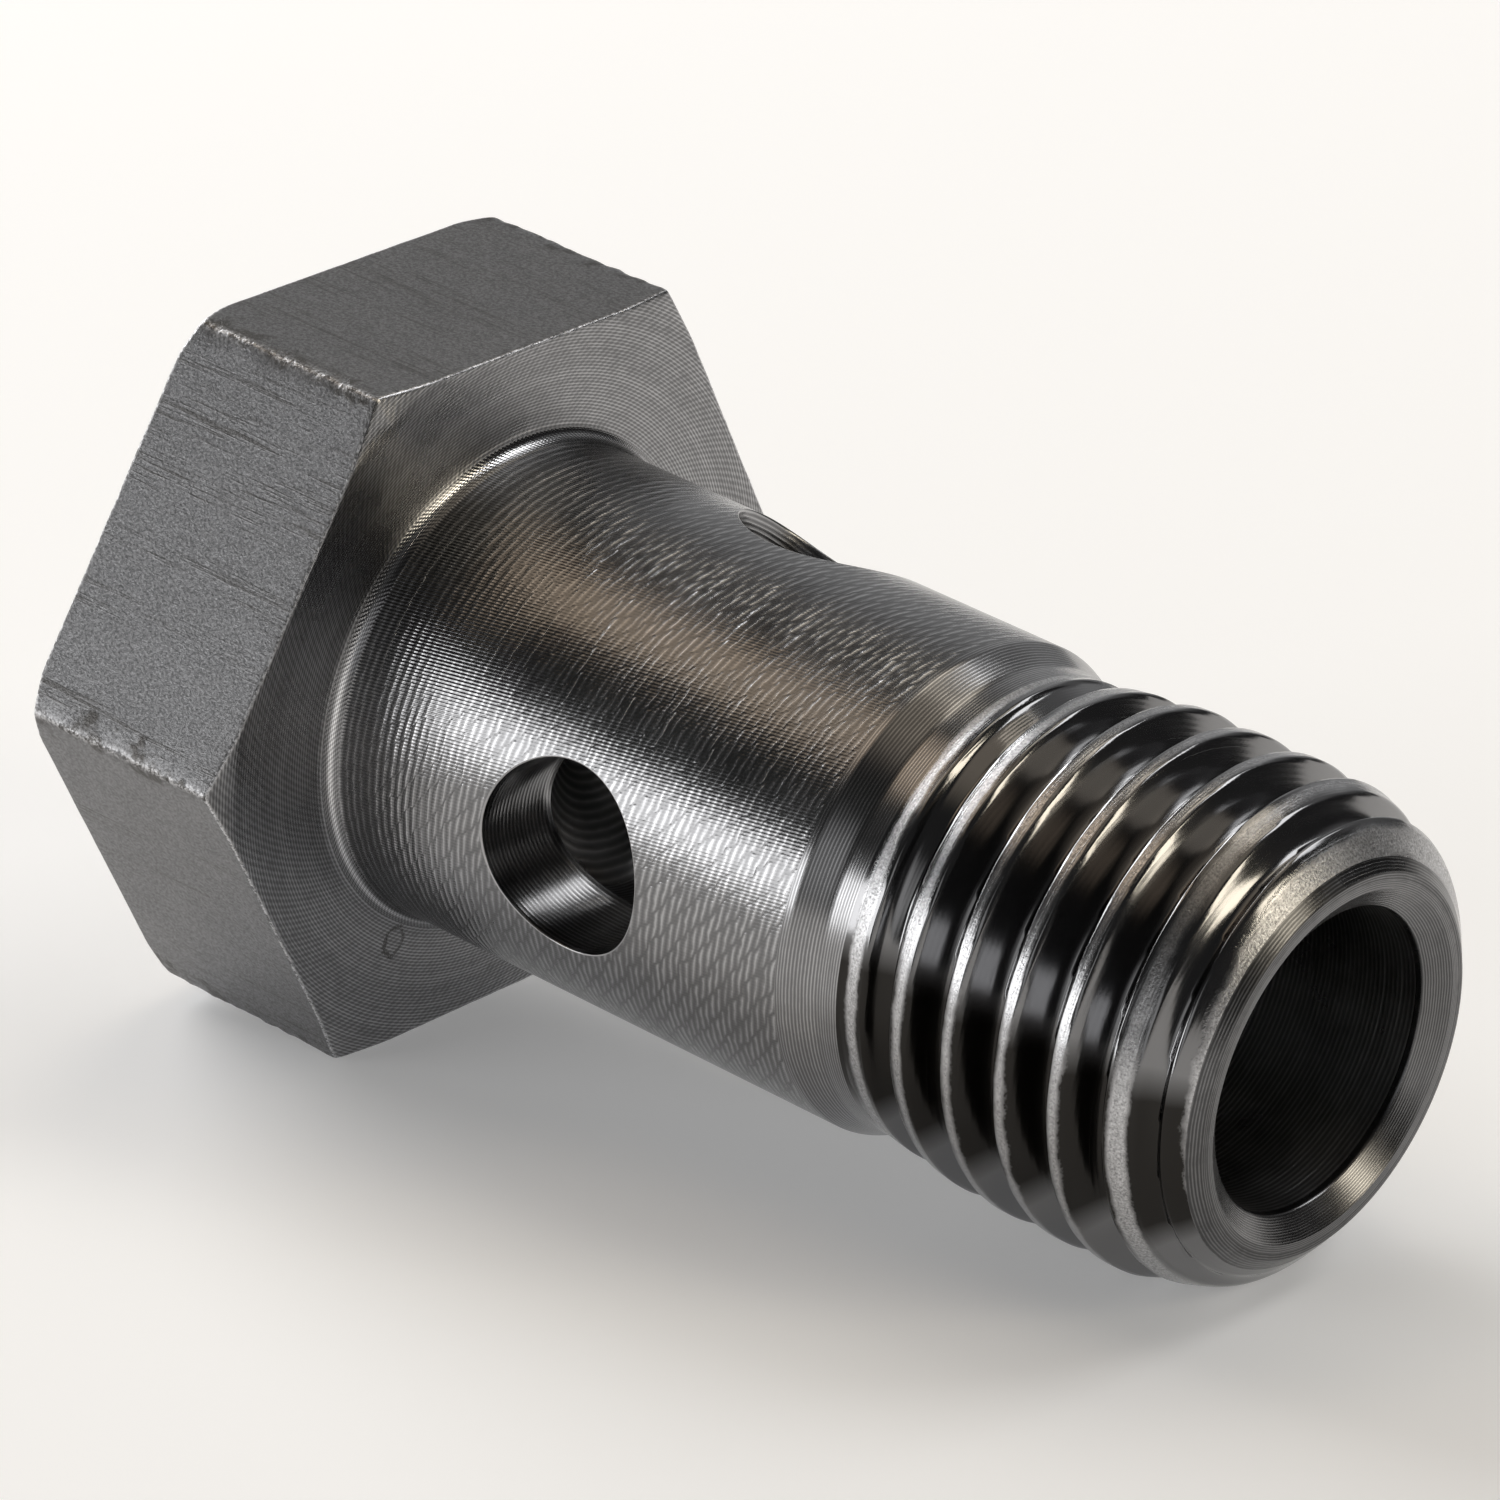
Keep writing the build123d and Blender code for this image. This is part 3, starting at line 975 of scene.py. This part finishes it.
def rolled_fillet(groups, finish, shape):
    """The round between seat and shank, ribbed, with a painted highlight along its middle and
    darker steel to either side.
    """
    made = Finish("filleted", groups, 0.15, 0.5)
    marks = made.marks("Slant", {"Pitch": 0.06, "Chatter count": 306.4, "Chatter": 1})
    from_middle = (made.place["Slant"] + shape.shank).math("ABSOLUTE")
    # Painted highlight: the middle of the round is painted up to three times the steel, and the
    # ribs lighter on their crests as painted glints
    ribs = marks["Crest"].span(0, 1)
    side = ribs.blend(shade(finish.steel, 0.4), shade(finish.steel, 1.1))
    line = ribs.blend(shade(finish.steel, 1.1), shade(finish.steel, 3.0))
    base = from_middle.span(0.03, 0.14, 1, 0).blend(side, line)
    return made.use(base, None, marks["Height"], 0.0012 * MM * finish.mark_depth)


class BANJO_OT_bolt(bpy.types.Operator):
    """Makes the bolt with its finishes and puts it in place of the plain solid"""

    bl_idname = "banjo.bolt"
    bl_label = "Bolt"

    def execute(self, context):
        """Builds the mesh and the materials."""
        finish = context.scene.bolt_finish
        shape = BoltShape(context.scene.bolt_sizes)
        groups = {"Bolt place": place_group(), "Turning marks": marks_group(),
                  "Steel grain": grain_group()}

        def turned(name, *values, **options):
            """One of the turned surfaces."""
            return turned_steel(name, groups, finish, *values, **options)

        materials = {
            BLASTED: blasted_steel(groups, finish),
            TURNED_SEAT: turned(
                "turned_seat", "Radius", 0.08, 0.0016, 0.27, anisotropy=0.85, waver=0.02,
                unevenness=0.75, braid=(40.3, 0.05), chatter=(246.37, 0.55), scar=(-5.75, 3.35, 0)),
            TURNED_SHANK: turned(
                "turned_shank", "Station", 0.232, 0.0068, 0.22, anisotropy=0.3, waver=0.05,
                unevenness=0.7, braid=(51.42, 0.5), chatter=(452.4, 0.4)),
            PLAIN_RELIEF: turned("plain_relief", "Station", 0.075, 0.0012, 0.24),
            ROLLED_THREAD: rolled_thread(groups, finish, shape),
            END_CHAMFERED: turned(
                "end_chamfer", "Radius", 0.06, 0.0020, 0.28, unevenness=0.9, lightness=0.45),
            COUNTERSUNK: turned("countersunk", "Radius", 0.05, 0.0016, 0.25, lightness=0.6),
            BORED: turned("bored", "Station", 0.12, 0.003, 0.3),
            CROSS_DRILLED: turned("cross_drilled", "Radius", 0.12, 0.003, 0.22),
            FILLETED: rolled_fillet(groups, finish, shape),
        }
        piece = make_object("banjo_bolt_steel", bolt_mesh(shape),
                            [materials[key] for key in sorted(materials)])
        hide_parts("banjo_bolt")
        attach(piece, "root")
        return {"FINISHED"}


# Stage

SOFTBOX_DISTANCE = 0.6
BOLT_MIDDLE_HEIGHT = 0.008
ROOM_LIGHT = 0.04
FLOOR_LIFT = 0.2
FLOOR_HALF_WIDTH = 2.0
FLOOR_DROP = 0.00001
CAMERA_LENS = 200.54
CAMERA_PLACE = (
    (0.7495527, -0.24528118, 0.61482347, 0.11557911),
    (0.66189122, 0.28952525, -0.69142978, -0.13155073),
    (-0.0084122, 0.92520931, 0.37936389, 0.08081432),
    (0, 0, 0, 1),
)
WHITE = (1, 1, 1)
# Name, azimuth and elevation in degrees, width and height in metres, brightness, colour
SOFTBOXES = (
    ("left", -128, 6, 0.42, 0.29, 3.9, WHITE),
    ("behind_left", 172, 26, 0.42, 0.36, 6.4, WHITE),
    ("behind_high", 58, 47, 0.26, 0.20, 3.6, WHITE),
    ("behind_top", 108, 68, 0.30, 0.24, 1.6, (1, 0.9, 0.75)),
    ("right", 16, 20, 0.15, 0.24, 5.6, (1, 0.90, 0.72)),
)
# Azimuth, elevation and half width in degrees, brightness, colour
SKY_GLOWS = (
    (128, 16, 37, 0.42, WHITE),
    (-160, 60, 19, 1.1, (1, 0.79, 0.58)),
    (-62, 14, 26, 0.7, WHITE),
    (90, 30, 30, 0.2, WHITE),
    (10, 72, 30, 0.4, (1, 0.86, 0.68)),
)


def direction(azimuth, elevation):
    """Unit vector towards a place given in degrees."""
    around, up = math.radians(azimuth), math.radians(elevation)
    return Vector((math.cos(up) * math.cos(around), math.cos(up) * math.sin(around), math.sin(up)))


def studio_world(name):
    """Dim studio room with a few soft glows on its walls."""
    world = bpy.data.worlds.new(name)
    world.use_nodes = True
    tree = world.node_tree
    ray = tree.nodes.new("ShaderNodeTexCoord").outputs["Generated"]
    total = (ROOM_LIGHT,) * 3
    for azimuth, elevation, spread, brightness, colour in SKY_GLOWS:
        towards = vector_calc(
            tree, "DOT_PRODUCT", {0: ray, 1: direction(azimuth, elevation)}, "Value")
        glow = towards.span(math.cos(math.radians(spread)), 1, 0, brightness, "SMOOTHSTEP")
        tinted = vector_calc(tree, "SCALE", {0: colour, "Scale": glow})
        total = vector_calc(tree, "ADD", {0: total, 1: tinted})
    tree.links.new(total.socket, tree.nodes["Background"].inputs["Color"])
    return world


def add_softbox(name, azimuth, elevation, width, height, brightness, colour, scale):
    """One softbox that faces the bolt, from a row of SOFTBOXES and a scale for its brightness."""
    away = direction(azimuth, elevation)
    light = bpy.data.lights.new(name, "AREA")
    light.shape = "RECTANGLE"
    light.size, light.size_y = width, height
    light.energy = math.pi * width * height * brightness * scale
    light.color = colour
    lamp = add_object(name, light)
    lamp.location = away * SOFTBOX_DISTANCE + Vector((0, 0, BOLT_MIDDLE_HEIGHT))
    lamp.rotation_mode = "QUATERNION"
    lamp.rotation_quaternion = (-away).to_track_quat("-Z", "Y")


def floor_material(colour):
    """Pale floor, lifted a little towards white for the camera and in reflections."""
    material = bpy.data.materials.new("floor")
    material.use_nodes = True
    tree = material.node_tree
    tree.nodes.clear()
    path = tree.nodes.new("ShaderNodeLightPath").outputs
    camera, glossy, transmission = (
        Value(path[name]) for name in ("Is Camera Ray", "Is Glossy Ray", "Is Transmission Ray"))
    seen = (camera + glossy + transmission).math("MINIMUM", 1)
    diffuse = node(tree, "ShaderNodeBsdfDiffuse", {"Color": shade(colour)})
    lift = node(tree, "ShaderNodeEmission", {
        "Color": shade(WHITE), "Strength": seen * FLOOR_LIFT})
    both = node(tree, "ShaderNodeAddShader", {0: diffuse.outputs[0], 1: lift.outputs[0]})
    node(tree, "ShaderNodeOutputMaterial", {0: both.outputs[0]})
    return material


class BANJO_OT_stage(bpy.types.Operator):
    """Makes the floor, the lamps and the camera"""

    bl_idname = "banjo.stage"
    bl_label = "Stage"

    def execute(self, context):
        """Builds the stage."""
        scene = context.scene
        settings = scene.stage_settings
        mesh = bpy.data.meshes.new("floor")
        corners = [(x * FLOOR_HALF_WIDTH, y * FLOOR_HALF_WIDTH, 0)
                   for x, y in ((-1, -1), (1, -1), (1, 1), (-1, 1))]
        mesh.from_pydata(corners, [], [(0, 1, 2, 3)])
        mesh.materials.append(floor_material(settings.floor))
        floor = add_object("floor", mesh)
        floor.location.z = -FLOOR_DROP

        for softbox in SOFTBOXES:
            add_softbox(*softbox, settings.lamp_strength)
        scene.world = studio_world("studio")

        camera_data = bpy.data.cameras.new("camera")
        camera_data.lens = CAMERA_LENS
        camera_data.sensor_width = 36
        camera_data.clip_start = 0.01
        camera_data.clip_end = 10
        scene.camera = add_object("camera", camera_data)
        scene.camera.matrix_world = Matrix(CAMERA_PLACE)
        scene.view_settings.view_transform = "Standard"
        return {"FINISHED"}


class BANJO_PT_panel(bpy.types.Panel):
    """Sizes, finish and stage of the bolt"""

    bl_idname = "BANJO_PT_panel"
    bl_label = "Banjo bolt"
    bl_space_type = "VIEW_3D"
    bl_region_type = "UI"
    bl_category = "Banjo bolt"

    def draw(self, context):
        """Lists the operators and their settings."""
        scene = context.scene
        for title, settings, operator in (
            ("Bolt", (scene.bolt_sizes, scene.bolt_finish), "banjo.bolt"),
            ("Stage", (scene.stage_settings,), "banjo.stage"),
        ):
            box = self.layout.box()
            box.label(text=title)
            for group in settings:
                for name in group.__annotations__:
                    box.prop(group, name)
            box.operator(operator)


CLASSES = (BoltSizes, BoltFinish, StageSettings, BANJO_OT_bolt, BANJO_OT_stage, BANJO_PT_panel)


def register():
    """Registers the classes and their settings."""
    for cls in CLASSES:
        bpy.utils.register_class(cls)
    bpy.types.Scene.bolt_sizes = PointerProperty(type=BoltSizes)
    bpy.types.Scene.bolt_finish = PointerProperty(type=BoltFinish)
    bpy.types.Scene.stage_settings = PointerProperty(type=StageSettings)


def unregister():
    """Takes the classes and settings away again."""
    del bpy.types.Scene.stage_settings
    del bpy.types.Scene.bolt_finish
    del bpy.types.Scene.bolt_sizes
    for cls in reversed(CLASSES):
        bpy.utils.unregister_class(cls)


def main():
    """Makes the whole scene."""
    register()
    bpy.ops.banjo.bolt()
    bpy.ops.banjo.stage()


if __name__ == "__main__":
    main()
